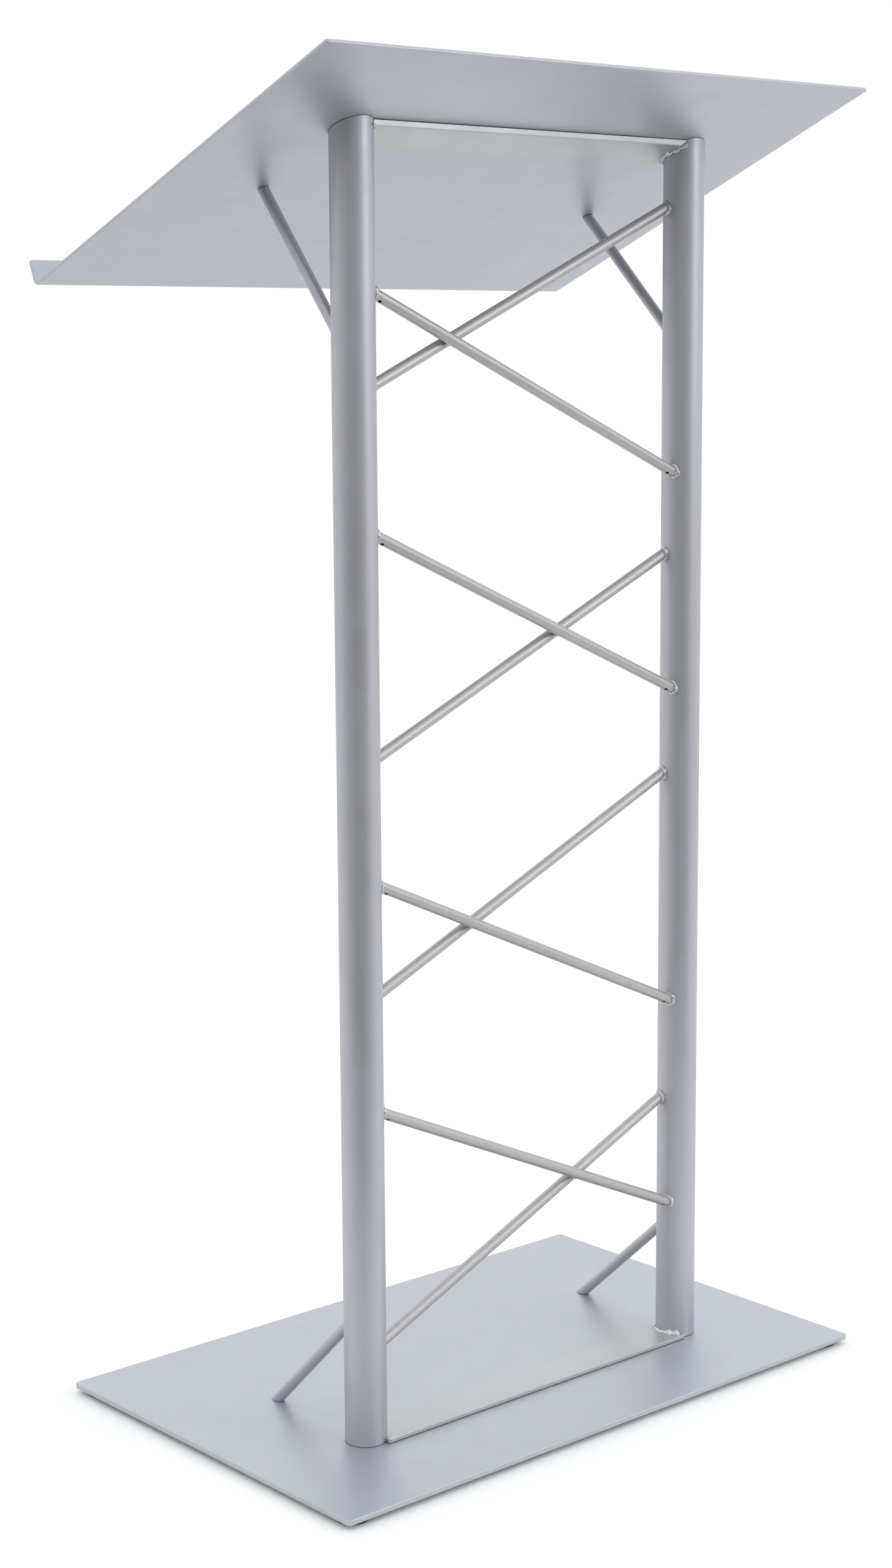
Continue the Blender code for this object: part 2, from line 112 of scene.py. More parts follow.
# Screws: shank radius, head radius, head height
SMALL_SCREW = (2.5 * MM, 4.6 * MM, 2.4 * MM)
LARGE_SCREW = (4 * MM, 8 * MM, 4.3 * MM)
FOOT_SCREW = (2 * MM, 4 * MM, 1.6 * MM)
BAR_SCREW_X = {"left": -120 * MM, "middle": 0.0, "right": 120 * MM}
BASE_BRACE_SCREW_SHIFT = 3 * MM
DESK_BRACE_SCREW_SHIFT = 1 * MM
BAR_THREAD = 3.2 * MM              # how far a screw reaches past the plate or the sheet
BRACE_THREAD = 6 * MM
POST_THREAD = 9 * MM
FOOT_THREAD = 3.3 * MM
FOOT_HOLE = 3.6 * MM
HEAD_RIM = 0.2 * MM
TIP_CHAMFER = 0.5 * MM
PAN_CROWN = [(0.6 * MM, 0.0), (0.2 * MM, 0.25 * MM), (0.0, 0.7 * MM)]   # inset and lift
SOCKET_RADIUS = 0.34               # as a share of the head's radius
SOCKET_DEPTH = 0.6                 # as a share of the head's height
SOCKET_SIDES = 6

# Feet: the screw's recess, its flared mouth, the rounded rim and the mould's draft
FOOT_RECESS = 5 * MM
FOOT_RECESS_DEPTH = 2.3 * MM
FOOT_MOUTH = 0.4 * MM
FOOT_RIM = 1 * MM
FOOT_DRAFT = 0.2 * MM

# Steps round a curve
POST_SIDES = 128
ROD_SIDES = 64
SCREW_SIDES = 48
CORNER_STEPS = 8
SHEET_CORNER_STEPS = 6
RIM_STEPS = 4
FOLD_STEPS = 8
FULL_TURN = math.tau


def linear(code):
    """An sRGB hex colour as linear red, green and blue."""
    values = [int(code[i:i + 2], 16) / 255 for i in (1, 3, 5)]
    return tuple(v / 12.92 if v <= 0.04045 else ((v + 0.055) / 1.055) ** 2.4 for v in values)


# ---------------------------------------------------------------- settings

class LecternFrameSettings(bpy.types.PropertyGroup):
    """Sizes of the welded frame that stay inside its outer shape."""

    post_wall: FloatProperty(
        name="Post wall", description="Wall of the round posts",
        default=2 * MM, min=0.5 * MM, max=6 * MM, unit="LENGTH")
    tube_wall: FloatProperty(
        name="Truss tube wall", description="Wall of the thin crossing tubes",
        default=1.2 * MM, min=0.5 * MM, max=3 * MM, unit="LENGTH")
    vent_radius: FloatProperty(
        name="Vent radius", description="Radius of the vent hole near each end of a truss tube",
        default=1.8 * MM, min=0.5 * MM, max=3 * MM, unit="LENGTH")
    edge_radius: FloatProperty(
        name="Edge radius", description="Rounding of sheared and rolled edges under the coat",
        default=0.8 * MM, min=0.2 * MM, max=1.2 * MM, unit="LENGTH")
    corner_radius: FloatProperty(
        name="Corner radius", description="Rounding of the base plate's corners",
        default=4 * MM, min=1 * MM, max=12 * MM, unit="LENGTH")


class LecternWeldSettings(bpy.types.PropertyGroup):
    """Sizes of the weld beads."""

    ring_radius: FloatProperty(
        name="Ring bead", description="Section radius of the bead round a tube's end",
        default=2.1 * MM, min=0.5 * MM, max=3 * MM, unit="LENGTH")
    seam_radius: FloatProperty(
        name="Bar bead", description="Section radius of the bead between a bar and a post",
        default=2.3 * MM, min=0.5 * MM, max=4 * MM, unit="LENGTH")
    lumpiness: FloatProperty(
        name="Lumpiness", description="How far a bead swells and shrinks, as a share of its radius",
        default=0.5, min=0.0, max=0.8, subtype="FACTOR")


class LecternFinishSettings(bpy.types.PropertyGroup):
    """Colours and gloss of the finishes."""

    sheet_colour: FloatVectorProperty(
        name="Coat on the sheets", description="Powder coat of the base plate and the desk",
        default=linear("#b8bbc1"), size=3, min=0.0, max=1.0, subtype="COLOR")
    frame_colour: FloatVectorProperty(
        name="Coat on the frame", description="Powder coat of the posts and braces",
        default=linear("#b9babf"), size=3, min=0.0, max=1.0, subtype="COLOR")
    # The truss coat is the frame's coat with a warmer tint: a painted warm cast of the light from
    # below
    truss_colour: FloatVectorProperty(
        name="Coat on the truss", description="Powder coat of the thin tubes, a touch warmer",
        default=linear("#b8b6b6"), size=3, min=0.0, max=1.0, subtype="COLOR")
    # The weld coat is painted lighter than the frame's coat: painted light on the beads, which face
    # down into shade
    weld_colour: FloatVectorProperty(
        name="Coat on the welds", description="Powder coat where it gathers on the weld beads",
        default=linear("#c6c8cb"), size=3, min=0.0, max=1.0, subtype="COLOR")
    bar_colour: FloatVectorProperty(
        name="Coat on the bars", description="Powder coat of the flat bars",
        default=linear("#babbbc"), size=3, min=0.0, max=1.0, subtype="COLOR")
    coat_roughness: FloatProperty(
        name="Coat roughness", description="Roughness of the satin powder coat",
        default=0.42, min=0.05, max=1.0, subtype="FACTOR")
    zinc_colour: FloatVectorProperty(
        name="Zinc", description="Colour of the zinc-plated screws",
        default=linear("#c3c5c8"), size=3, min=0.0, max=1.0, subtype="COLOR")
    rubber_colour: FloatVectorProperty(
        name="Rubber", description="Colour of the feet",
        default=linear("#1b1b1c"), size=3, min=0.0, max=1.0, subtype="COLOR")


class LecternStageSettings(bpy.types.PropertyGroup):
    """The studio: floor, light and camera."""

    floor_colour: FloatVectorProperty(
        name="Floor", description="Colour of the plain floor",
        default=linear("#f6f6f5"), size=3, min=0.0, max=1.0, subtype="COLOR")
    camera_place: FloatVectorProperty(
        name="Camera place", description="Where the camera stands",
        default=(-1.6446, -1.8503, 0.9778), size=3, subtype="TRANSLATION", unit="LENGTH")
    camera_heading: FloatProperty(
        name="Camera heading", description="Turn of the view from +Y towards +X",
        default=math.radians(41.341), subtype="ANGLE")
    camera_pitch: FloatProperty(
        name="Camera pitch", description="Tilt of the view, up from level",
        default=math.radians(-9.267), subtype="ANGLE")
    camera_roll: FloatProperty(
        name="Camera roll", description="Turn of the camera about its own view line",
        default=math.radians(-0.363), subtype="ANGLE")
    camera_lens: FloatProperty(
        name="Camera lens", description="Focal length in millimetres on a 36 mm long side",
        default=61.16, min=20.0, max=200.0)
    softbox_power: FloatProperty(
        name="Softbox power", description="Power of the softbox in watts",
        default=15.5, min=0.0, max=500.0, subtype="POWER")
    studio_strength: FloatProperty(
        name="Studio light", description="Strength of the white light all round",
        default=1.18, min=0.0, max=5.0)


# ---------------------------------------------------------------- materials

def add_node(tree, kind, settings=None, links=None):
    """Add a node; settings go to its properties or sockets, links join sockets to outputs."""
    node = tree.nodes.new(kind)
    for key, value in (settings or {}).items():
        if isinstance(key, str) and hasattr(node, key):
            setattr(node, key, value)
        else:
            node.inputs[key].default_value = value
    for key, source in (links or {}).items():
        tree.links.new(source, node.inputs[key])
    return node


def new_material(name):
    """An empty node material with its Principled shader already linked out."""
    material = bpy.data.materials.new(name)
    material.use_nodes = True
    tree = material.node_tree
    tree.nodes.clear()
    shader = add_node(tree, "ShaderNodeBsdfPrincipled")
    add_node(tree, "ShaderNodeOutputMaterial", links={"Surface": shader.outputs["BSDF"]})
    place = add_node(tree, "ShaderNodeTexCoord").outputs["Object"]
    return material, tree, shader, place


def per_metre(size):
    """The texture scale at which a pattern repeats at this real size."""
    return 1.0 / size


# The band that most of a noise texture's values lie in
NOISE_BAND = {"From Min": 0.3, "From Max": 0.7}

# The powder coat and its patterns
COAT_METALLIC = 0.7      # flakes under clear resin: part metal, part paint
FLAKES = 0.9 * MM        # real flakes are far finer; these are as coarse as a sparkle needs to show
ORANGE_PEEL = 1.6 * MM
PEEL_DEPTH = 0.05 * MM
HANDLED_PATCHES = 45 * MM
SPRAY_DRIFT = 160 * MM
SPARKLE = 0.035          # how far a flake's tone strays from the coat's


def powder_coat(name, colour, roughness, mottle, peel):
    """Silver powder coat, sprayed dry and baked on steel: aluminium flakes in a clear resin.

    The flakes give a soft metal sheen with a fine sparkle, and the melted resin leaves a faint
    orange peel. Handling leaves slightly duller patches.
    """
    material, tree, shader, place = new_material(name)
    flakes = add_node(tree, "ShaderNodeTexNoise",
                      {"Scale": per_metre(FLAKES), "Detail": 2.0, "Roughness": 0.7},
                      {"Vector": place})
    drift = add_node(tree, "ShaderNodeTexNoise",
                     {"Scale": per_metre(SPRAY_DRIFT), "Detail": 3.0, "Roughness": 0.55},
                     {"Vector": place})
    patches = add_node(tree, "ShaderNodeTexNoise",
                       {"Scale": per_metre(HANDLED_PATCHES), "Detail": 5.0, "Roughness": 0.6,
                        "Distortion": 0.8}, {"Vector": place})
    sparkle = add_node(tree, "ShaderNodeMapRange",
                       {**NOISE_BAND, "To Min": 1.0 - SPARKLE, "To Max": 1.0 + SPARKLE},
                       {"Value": flakes.outputs["Fac"]})
    tone = add_node(tree, "ShaderNodeMapRange",
                    {**NOISE_BAND, "To Min": 1.0 - mottle, "To Max": 1.0 + mottle},
                    {"Value": drift.outputs["Fac"]})
    both = add_node(tree, "ShaderNodeMath", {"operation": "MULTIPLY"},
                    {0: sparkle.outputs["Result"], 1: tone.outputs["Result"]})
    grey = add_node(tree, "ShaderNodeCombineColor", None,
                    {i: both.outputs["Value"] for i in ("Red", "Green", "Blue")})
    tinted = add_node(tree, "ShaderNodeMix",
                      {"data_type": "RGBA", "blend_type": "MULTIPLY", 0: 1.0, 6: (*colour, 1.0)},
                      {7: grey.outputs["Color"]})
    tree.links.new(tinted.outputs[2], shader.inputs["Base Color"])
    gloss = add_node(tree, "ShaderNodeMapRange",
                     {"From Min": 0.35, "From Max": 0.7, "To Min": roughness - 0.025,
                      "To Max": roughness + 0.045}, {"Value": patches.outputs["Fac"]})
    tree.links.new(gloss.outputs["Result"], shader.inputs["Roughness"])
    skin = add_node(tree, "ShaderNodeTexNoise",
                    {"Scale": per_metre(ORANGE_PEEL), "Detail": 2.0, "Roughness": 0.5},
                    {"Vector": place})
    bump = add_node(tree, "ShaderNodeBump", {"Strength": peel, "Distance": PEEL_DEPTH},
                    {"Height": skin.outputs["Fac"]})
    tree.links.new(bump.outputs["Normal"], shader.inputs["Normal"])
    shader.inputs["Metallic"].default_value = COAT_METALLIC
    return material


def zinc_plate(colour):
    """Bright zinc, electroplated on turned steel screws: pale metal with a faint cloudy bloom."""
    material, tree, shader, place = new_material("bright_zinc_plate")
    bloom = add_node(tree, "ShaderNodeTexNoise",
                     {"Scale": per_metre(2.5 * MM), "Detail": 4.0, "Roughness": 0.6},
                     {"Vector": place})
    ramp = add_node(tree, "ShaderNodeMapRange",
                    {**NOISE_BAND, "To Min": 0.24, "To Max": 0.42},
                    {"Value": bloom.outputs["Fac"]})
    tree.links.new(ramp.outputs["Result"], shader.inputs["Roughness"])
    cloudy = [0.85 * c for c in colour]
    mixed = add_node(tree, "ShaderNodeMix",
                     {"data_type": "RGBA", 6: (*cloudy, 1.0), 7: (*colour, 1.0)},
                     {0: bloom.outputs["Fac"]})
    tree.links.new(mixed.outputs[2], shader.inputs["Base Color"])
    shader.inputs["Metallic"].default_value = 1.0
    return material


def moulded_rubber(colour):
    """Black rubber, moulded: matt, with a fine pebbled skin that greys where dust holds."""
    material, tree, shader, place = new_material("moulded_rubber")
    dust = add_node(tree, "ShaderNodeTexNoise",
                    {"Scale": per_metre(6 * MM), "Detail": 6.0, "Roughness": 0.7},
                    {"Vector": place})
    dusty = [2.4 * c for c in colour]
    mixed = add_node(tree, "ShaderNodeMix",
                     {"data_type": "RGBA", 6: (*colour, 1.0), 7: (*dusty, 1.0)},
                     {0: dust.outputs["Fac"]})
    tree.links.new(mixed.outputs[2], shader.inputs["Base Color"])
    pebble = add_node(tree, "ShaderNodeTexVoronoi", {"Scale": per_metre(0.8 * MM)},
                      {"Vector": place})
    bump = add_node(tree, "ShaderNodeBump", {"Strength": 0.3, "Distance": 0.08 * MM},
                    {"Height": pebble.outputs["Distance"]})
    tree.links.new(bump.outputs["Normal"], shader.inputs["Normal"])
    shader.inputs["Roughness"].default_value = 0.78
    return material


# Each silver coat: its colour setting, what its roughness adds, its mottle and its orange peel
COATS = {
    "silver_coat_on_sheet": ("sheet_colour", 0.0, 0.012, 0.10),
    "silver_coat_on_tube": ("frame_colour", 0.04, 0.02, 0.09),
    # Truss: the frame's coat, tinted warmer as a painted warm cast of the light from below
    "silver_coat_on_truss": ("truss_colour", 0.04, 0.02, 0.09),
    "silver_coat_on_bar": ("bar_colour", 0.0, 0.025, 0.10),
    # Welds: the frame's coat painted lighter, as painted light on the beads
    "silver_coat_on_weld": ("weld_colour", -0.1, 0.05, 0.2),
}


def finish(name):
    """The named finish, made the first time that it is asked for."""
    if name in bpy.data.materials:
        return bpy.data.materials[name]
    looks = bpy.context.scene.lectern_finish
    if name in COATS:
        setting, added, mottle, peel = COATS[name]
        colour = tuple(getattr(looks, setting))
        return powder_coat(name, colour, looks.coat_roughness + added, mottle, peel)
    if name == "bright_zinc_plate":
        return zinc_plate(tuple(looks.zinc_colour))
    if name == "moulded_rubber":
        return moulded_rubber(tuple(looks.rubber_colour))
    raise ValueError("no finish named " + name)


# ---------------------------------------------------------------- mesh helpers

def add_piece(name, bm, finish_name, replaced):
    """Make a bmesh a piece that rides on the frame, and let it stand for these CAD nodes."""
    bmesh.ops.recalc_face_normals(bm, faces=bm.faces[:])
    mesh = bpy.data.meshes.new(name)
    bm.to_mesh(mesh)
    bm.free()
    mesh.materials.append(finish(finish_name))
    piece = bpy.data.objects.new(name, mesh)
    bpy.context.scene.collection.objects.link(piece)
    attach(piece, "root")
    if replaced:
        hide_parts(*replaced)
    return piece


def smooth(piece, angle=35, flat=False):
    """Shade round stretches smooth; flat keeps a plate's faces flat between rounded rims."""
    piece.data.shade_smooth()
    piece.data.set_sharp_from_angle(angle=math.radians(angle))
    if flat:
        modifier = piece.modifiers.new("flat_faces", "WEIGHTED_NORMAL")
        modifier.keep_sharp = True
        modifier.weight = 100


def coated(name, bm, replaced, finish_name="silver_coat_on_tube"):
    """A powder-coated steel piece."""
    return add_piece(name, bm, finish_name, replaced)


def carve(piece, cutters):
    """Take each cutter's space out of the piece, then remove the cutters."""
    tools = []
    for number, bm in enumerate(cutters):
        bmesh.ops.recalc_face_normals(bm, faces=bm.faces[:])
        mesh = bpy.data.meshes.new(f"{piece.name}_cutter_{number}")
        bm.to_mesh(mesh)
        bm.free()
        tool = bpy.data.objects.new(mesh.name, mesh)
        bpy.context.scene.collection.objects.link(tool)
        modifier = piece.modifiers.new(tool.name, "BOOLEAN")
        modifier.operation = "DIFFERENCE"
        modifier.solver = "EXACT"
        modifier.object = tool
        tools.append(tool)
    depsgraph = bpy.context.evaluated_depsgraph_get()
    carved = bmesh.new()
    carved.from_object(piece, depsgraph)
    bmesh.ops.dissolve_limit(carved, angle_limit=SPLIT_ANGLE, verts=carved.verts[:],
                             edges=carved.edges[:], use_dissolve_boundaries=False)
    carved.to_mesh(piece.data)
    carved.free()
    piece.modifiers.clear()
    for tool in tools:
        bpy.data.meshes.remove(tool.data)


def up(height):
    """A step straight up."""
    return Vector((0.0, 0.0, height))


def placed(bm, matrix):
    """The bmesh, moved by a matrix."""
    bmesh.ops.transform(bm, matrix=matrix, verts=bm.verts[:])
    return bm


def box(width, depth, height, centre):
    """A box in a new bmesh."""
    bm = bmesh.new()
    place = Matrix.Translation(centre) @ Matrix.Diagonal((width, depth, height, 1.0))
    bmesh.ops.create_cube(bm, size=1.0, matrix=place)
    return bm


def aimed(start, end):
    """The matrix that lays a Z-long shape from start to end."""
    turn = (end - start).to_track_quat("Z", "Y").to_matrix().to_4x4()
    return Matrix.Translation(start) @ turn


def turned(profile, sides, closed=True):
    """A profile of (radius, height) points turned about Z; an open one starts and ends on Z."""
    bm = bmesh.new()
    verts = [bm.verts.new((radius, 0.0, height)) for radius, height in profile]
    edges = [bm.edges.new(pair) for pair in zip(verts, verts[1:])]
    if closed:
        edges.append(bm.edges.new((verts[-1], verts[0])))
    bmesh.ops.spin(bm, geom=verts + edges, cent=(0, 0, 0), axis=(0, 0, 1), dvec=(0, 0, 0),
                   angle=FULL_TURN, steps=sides, use_merge=True)
    bmesh.ops.remove_doubles(bm, verts=bm.verts[:], dist=MERGE)
    return bm


def cylinder(start, end, radius, sides):
    """A solid round bar between two points."""
    length = (end - start).length
    bm = turned([(0.0, 0.0), (radius, 0.0), (radius, length), (0.0, length)], sides, closed=False)
    return placed(bm, aimed(start, end))


def sharp_edges(bm, angle=50):
    """Edges whose faces meet at more than this many degrees."""
    return [e for e in bm.edges if e.is_manifold and e.calc_face_angle(0.0) > math.radians(angle)]


def upright_edges(bm):
    """Edges that run between a plate's lower and upper face."""
    return [e for e in bm.edges if abs(e.verts[0].co.z - e.verts[1].co.z) > MM]


def round_edges(bm, edges, radius, segments):
    """Bevel edges to a round section."""
    bmesh.ops.bevel(bm, geom=edges, offset=radius, segments=segments, profile=0.5,
                    affect="EDGES", material=-1, clamp_overlap=True)


# ---------------------------------------------------------------- places on the frame

def post_axis(side):
    """The foot of a post's axis on the floor."""
    return Vector((SIDES[side] * POST_X, POST_Y, 0.0))


def down_slope(y):
    """How far down the slope the desk's underside reaches this Y."""
    return (y - DESK_HIGH_EDGE.y) / math.cos(DESK_TILT)


def on_desk(x, down, lift):
    """A point of the desk's own frame, in the row frame."""
    return DESK_PLACE @ Vector((x, down, lift))


def reach_post(point, direction, side, radius):
    """How far along direction a point inside a post's circle of this radius leaves it."""
    centre = post_axis(side)
    dx, dy = direction.x, direction.y
    px, py = point.x - centre.x, point.y - centre.y
    a = dx * dx + dy * dy
    b = px * dx + py * dy
    c = px * px + py * py - radius * radius
    return (-b + math.sqrt(max(b * b - a * c, 0.0))) / a


def truss_ends(name):
    """A truss tube's axis, from the left post's axis to the right post's."""
    low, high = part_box(name)
    middle = (low + high) / 2
    rise = POST_X * math.tan(TRUSS_ANGLE) * (1 if "rising" in name else -1)
    return middle + Vector((-POST_X, 0.0, -rise)), middle + Vector((POST_X, 0.0, rise))


def brace_axis(side, upper):
    """A brace's axis, from the post's axis to the desk's underside or the base plate's top."""
    height, x, y = (UPPER_BRACES if upper else LOWER_BRACES)[side]
    start = post_axis(side) + up(height)
    y += MIDDLE_Y
    end = on_desk(x, down_slope(y), 0.0) if upper else Vector((x, y, PLATE_TOP))
    return start, end


# ---------------------------------------------------------------- pieces

def screw_space(kind, grip):
    """The hole that a countersunk screw needs, head down at height 0."""
    shank, head, height = kind
    outline = [(0.0, -GAP), (head + GAP, -GAP), (head + GAP, GAP), (shank + GAP, height),
               (shank + GAP, grip + GAP), (0.0, grip + GAP)]
    return turned(outline, SCREW_SIDES, closed=False)


def base_screws():
    """Each countersunk screw under the base: name, kind, grip and matrix."""
    rows = []
    for place, x in BAR_SCREW_X.items():
        rows.append(("base_bar_screw_" + place, SMALL_SCREW, BAR_THREAD, x, BOTTOM_BAR_Y))
    for side, (_, x, y) in LOWER_BRACES.items():
        rows.append(("base_brace_screw_" + side, SMALL_SCREW, BRACE_THREAD, x,
                     MIDDLE_Y + y - BASE_BRACE_SCREW_SHIFT))
        rows.append(("post_screw_" + side, LARGE_SCREW, POST_THREAD, SIDES[side] * POST_X, POST_Y))
    return [(name, kind, PLATE_THICKNESS + thread, Matrix.Translation((x, y, PLATE_LOW.z)))
            for name, kind, thread, x, y in rows]


def desk_screws():
    """Each countersunk screw in the desk: name, kind, grip and matrix, turned head up."""
    rows = []
    bar_middle = down_slope(TOP_BAR_FRONT_Y) + BAR_WIDTH / 2
    for place, x in BAR_SCREW_X.items():
        rows.append(("desk_bar_screw_" + place, BAR_THREAD, x, bar_middle))
    for side, (_, x, y) in UPPER_BRACES.items():
        rows.append(("desk_brace_screw_" + side, BRACE_THREAD, x,
                     down_slope(MIDDLE_Y + y) - DESK_BRACE_SCREW_SHIFT))
    over = Matrix.Rotation(math.pi, 4, "X")
    return [(name, SMALL_SCREW, DESK_SHEET + thread,
             DESK_PLACE @ Matrix.Translation((x, down, DESK_SHEET)) @ over)
            for name, thread, x, down in rows]


def make_base_plate(sizes):
    """The flat plate: corners rounded, rims softened, holes open below for its screws."""
    centre = (PLATE_LOW + PLATE_HIGH) / 2
    size = PLATE_HIGH - PLATE_LOW
    bm = box(size.x, size.y, size.z, centre)
    round_edges(bm, upright_edges(bm), sizes.corner_radius, CORNER_STEPS)
    round_edges(bm, sharp_edges(bm), sizes.edge_radius, RIM_STEPS)
    plate = coated("base_plate_coated", bm, ["base_plate"], "silver_coat_on_sheet")
    cutters = [placed(screw_space(kind, grip), matrix)
               for _, kind, grip, matrix in base_screws()]
    for x, y in foot_places().values():
        bottom = Vector((x, y, PLATE_LOW.z - CLEAR))
        cutters.append(cylinder(bottom, bottom + up(CLEAR + FOOT_HOLE), FOOT_SCREW[0] + GAP,
                                SCREW_SIDES))
    carve(plate, cutters)
    smooth(plate, flat=True)


def make_desk_panel(sizes):
    """The desk: one sheet spun through its fold and drawn up into the lip."""
    bm = bmesh.new()
    half = DESK_WIDTH / 2
    bottom = bm.verts.new((-half, 0.0, 0.0))
    top = bm.verts.new((-half, 0.0, DESK_SHEET))
    end = [bm.edges.new((bottom, top))]
    fold_centre = Vector((-half, DESK_RUN - FOLD_RADIUS, FOLD_RADIUS))
    end = drawn(bm, end, Vector((0.0, fold_centre.y, 0.0)))
    spun = bmesh.ops.spin(bm, geom=end, cent=fold_centre, axis=(1, 0, 0), dvec=(0, 0, 0),
                          angle=math.pi / 2, steps=FOLD_STEPS, use_merge=False)
    end = [g for g in spun["geom_last"] if isinstance(g, bmesh.types.BMEdge)]
    drawn(bm, end, up(LIP_HEIGHT - FOLD_RADIUS))
    swept = bmesh.ops.extrude_face_region(bm, geom=bm.faces[:])
    far = [g for g in swept["geom"] if isinstance(g, bmesh.types.BMVert)]
    bmesh.ops.translate(bm, verts=far, vec=(DESK_WIDTH, 0.0, 0.0))
    bmesh.ops.recalc_face_normals(bm, faces=bm.faces[:])
    corners = [e for e in bm.edges if is_sheet_corner(e)]
    round_edges(bm, corners, SHEET_CORNER, SHEET_CORNER_STEPS)
    round_edges(bm, sharp_edges(bm), sizes.edge_radius, RIM_STEPS)
    placed(bm, DESK_PLACE)
    panel = coated("desk_panel_coated", bm, ["desk_panel"], "silver_coat_on_sheet")
    carve(panel, [placed(screw_space(kind, grip), matrix)
                  for _, kind, grip, matrix in desk_screws()])
    smooth(panel, flat=True)


def drawn(bm, edges, step):
    """Extrude edges by a step and return the new ones."""
    out = bmesh.ops.extrude_edge_only(bm, edges=edges)
    verts = [g for g in out["geom"] if isinstance(g, bmesh.types.BMVert)]
    bmesh.ops.translate(bm, verts=verts, vec=step)
    return [g for g in out["geom"] if isinstance(g, bmesh.types.BMEdge)
            and all(v in verts for v in g.verts)]


def is_sheet_corner(edge):
    """True for the short edges through the sheet at its high corners and the lip's corners."""
    a, b = (vert.co for vert in edge.verts)
    through = abs((a - b).length - DESK_SHEET) < MERGE
    at_high_edge = max(a.y, b.y) < MM
    at_lip_top = min(a.z, b.z) > LIP_HEIGHT - MM
    return through and (at_high_edge or at_lip_top)


def make_post(side, sizes):
    """A round tube whose top is cut to the desk's slope."""
    foot = post_axis(side)
    low = PLATE_TOP + GAP
    inner = POST_RADIUS - sizes.post_wall
    profile = [(inner, low), (POST_RADIUS - POST_CHAMFER, low), (POST_RADIUS, low + POST_CHAMFER),
               (POST_RADIUS, DESK_HIGH.z), (inner, DESK_HIGH.z)]
    bm = placed(turned(profile, POST_SIDES), Matrix.Translation(foot))
    bmesh.ops.bisect_plane(bm, geom=bm.verts[:] + bm.edges[:] + bm.faces[:], clear_outer=True,
                           plane_co=on_desk(0.0, 0.0, -SEAM), plane_no=DESK_NORMAL)
    rims = [e for e in bm.edges if e.is_boundary]
    bmesh.ops.bridge_loops(bm, edges=rims)
    smooth(coated(side + "_post_coated", bm, [side + "_post"]))


def bar_mesh(thickness, slant, sizes):
    """A flat bar about the origin, its rims softened; slant leans its audience edge."""
    bm = box(2 * BAR_HALF_LENGTH, BAR_WIDTH, thickness, Vector())
    lower_edge = [v for v in bm.verts if v.co.y < 0.0 and v.co.z < 0.0]
    bmesh.ops.translate(bm, verts=lower_edge, vec=(0.0, thickness * math.tan(slant), 0.0))
    round_edges(bm, upright_edges(bm), 2 * sizes.edge_radius, RIM_STEPS)
    round_edges(bm, sharp_edges(bm), sizes.edge_radius, RIM_STEPS)
    return bm


def make_bar(name, thickness, slant, place, screws, sizes):
    """A flat bar coped to both posts and drilled for its screws."""
    bar = coated(name + "_coated", placed(bar_mesh(thickness, slant, sizes), place), [name],
                 "silver_coat_on_bar")
    cutters = [cylinder(post_axis(side), post_axis(side) + up(DESK_HIGH.z), POST_RADIUS + GAP,
                        POST_SIDES) for side in SIDES]
    cutters += [placed(screw_space(kind, grip), matrix) for _, kind, grip, matrix in screws]
    carve(bar, cutters)
    smooth(bar, flat=True)


def make_truss_tube(name, sizes):
    """A thin tube coped to both posts, with a vent hole near each end."""
    start, end = truss_ends(name)
    length = (end - start).length
    inner = ROD_RADIUS - sizes.tube_wall
    past_vent = (POST_RADIUS + VENT_FROM_POST) / math.cos(TRUSS_ANGLE) + 2 * ROD_RADIUS
    stations = [0.0, past_vent, length - past_vent, length]
    profile = [(ROD_RADIUS, height) for height in stations]
    profile += [(inner, height) for height in reversed(stations)]
    bm = turned(profile, ROD_SIDES)
    rims = [v for v in bm.verts if not past_vent / 2 < v.co.z < length - past_vent / 2]
    placed(bm, aimed(start, end))
    along = (end - start).normalized()
    for vert in rims:
        near_left = vert.co.x < 0.0
        direction = along if near_left else -along
        side = "left" if near_left else "right"
        vert.co += direction * reach_post(vert.co, direction, side, POST_RADIUS + GAP)
    # Its coat carries a painted warm cast of the light from below
    tube = coated(name + "_coated", bm, [name], "silver_coat_on_truss")
    vents = []
    for near, far in ((start, end), (end, start)):
        direction = (far - near).normalized()
        middle = near + direction * (POST_RADIUS + VENT_FROM_POST) / abs(direction.x)
        across = direction.cross(Vector((0.0, 1.0, 0.0))).normalized()
        down = across if across.z < 0 else -across
        turn = Matrix.Rotation(-VENT_TURN * math.copysign(1.0, direction.x), 4, direction)
        vents.append(cylinder(middle, middle + turn @ down * 2 * ROD_RADIUS,
                              sizes.vent_radius, SCREW_SIDES))
    carve(tube, vents)
    smooth(tube)


def make_brace(side, upper):
    """A solid rod from a post to the desk or the base, cut flush at both ends."""
    start, end = brace_axis(side, upper)
    length = (end - start).length
    along = (end - start).normalized()
    bm = cylinder(start, end, ROD_RADIUS, ROD_SIDES)
    plane, normal = (on_desk(0.0, 0.0, -SEAM), DESK_NORMAL) if upper else (
        up(PLATE_TOP + GAP), up(1.0))
    for vert in bm.verts:
        if (vert.co - start).dot(along) < length / 2:
            vert.co += along * reach_post(vert.co, along, side, POST_RADIUS + GAP)
        else:
            vert.co += along * ((plane - vert.co).dot(normal) / along.dot(normal))
    name = ("upper_" if upper else "lower_") + side + "_brace"
    smooth(coated(name + "_coated", bm, [name]))


def plated_screw(name, outline, socket_top, head, matrix):
    """A zinc-plated screw turned from its outline, with a hexagon socket up to this height."""
    screw = add_piece(name + "_plated", turned(outline, SCREW_SIDES, closed=False),
                      "bright_zinc_plate", [name])
    carve(screw, [cylinder(up(-CLEAR), up(socket_top), SOCKET_RADIUS * head, SOCKET_SIDES)])
    screw.data.transform(matrix)
    smooth(screw)


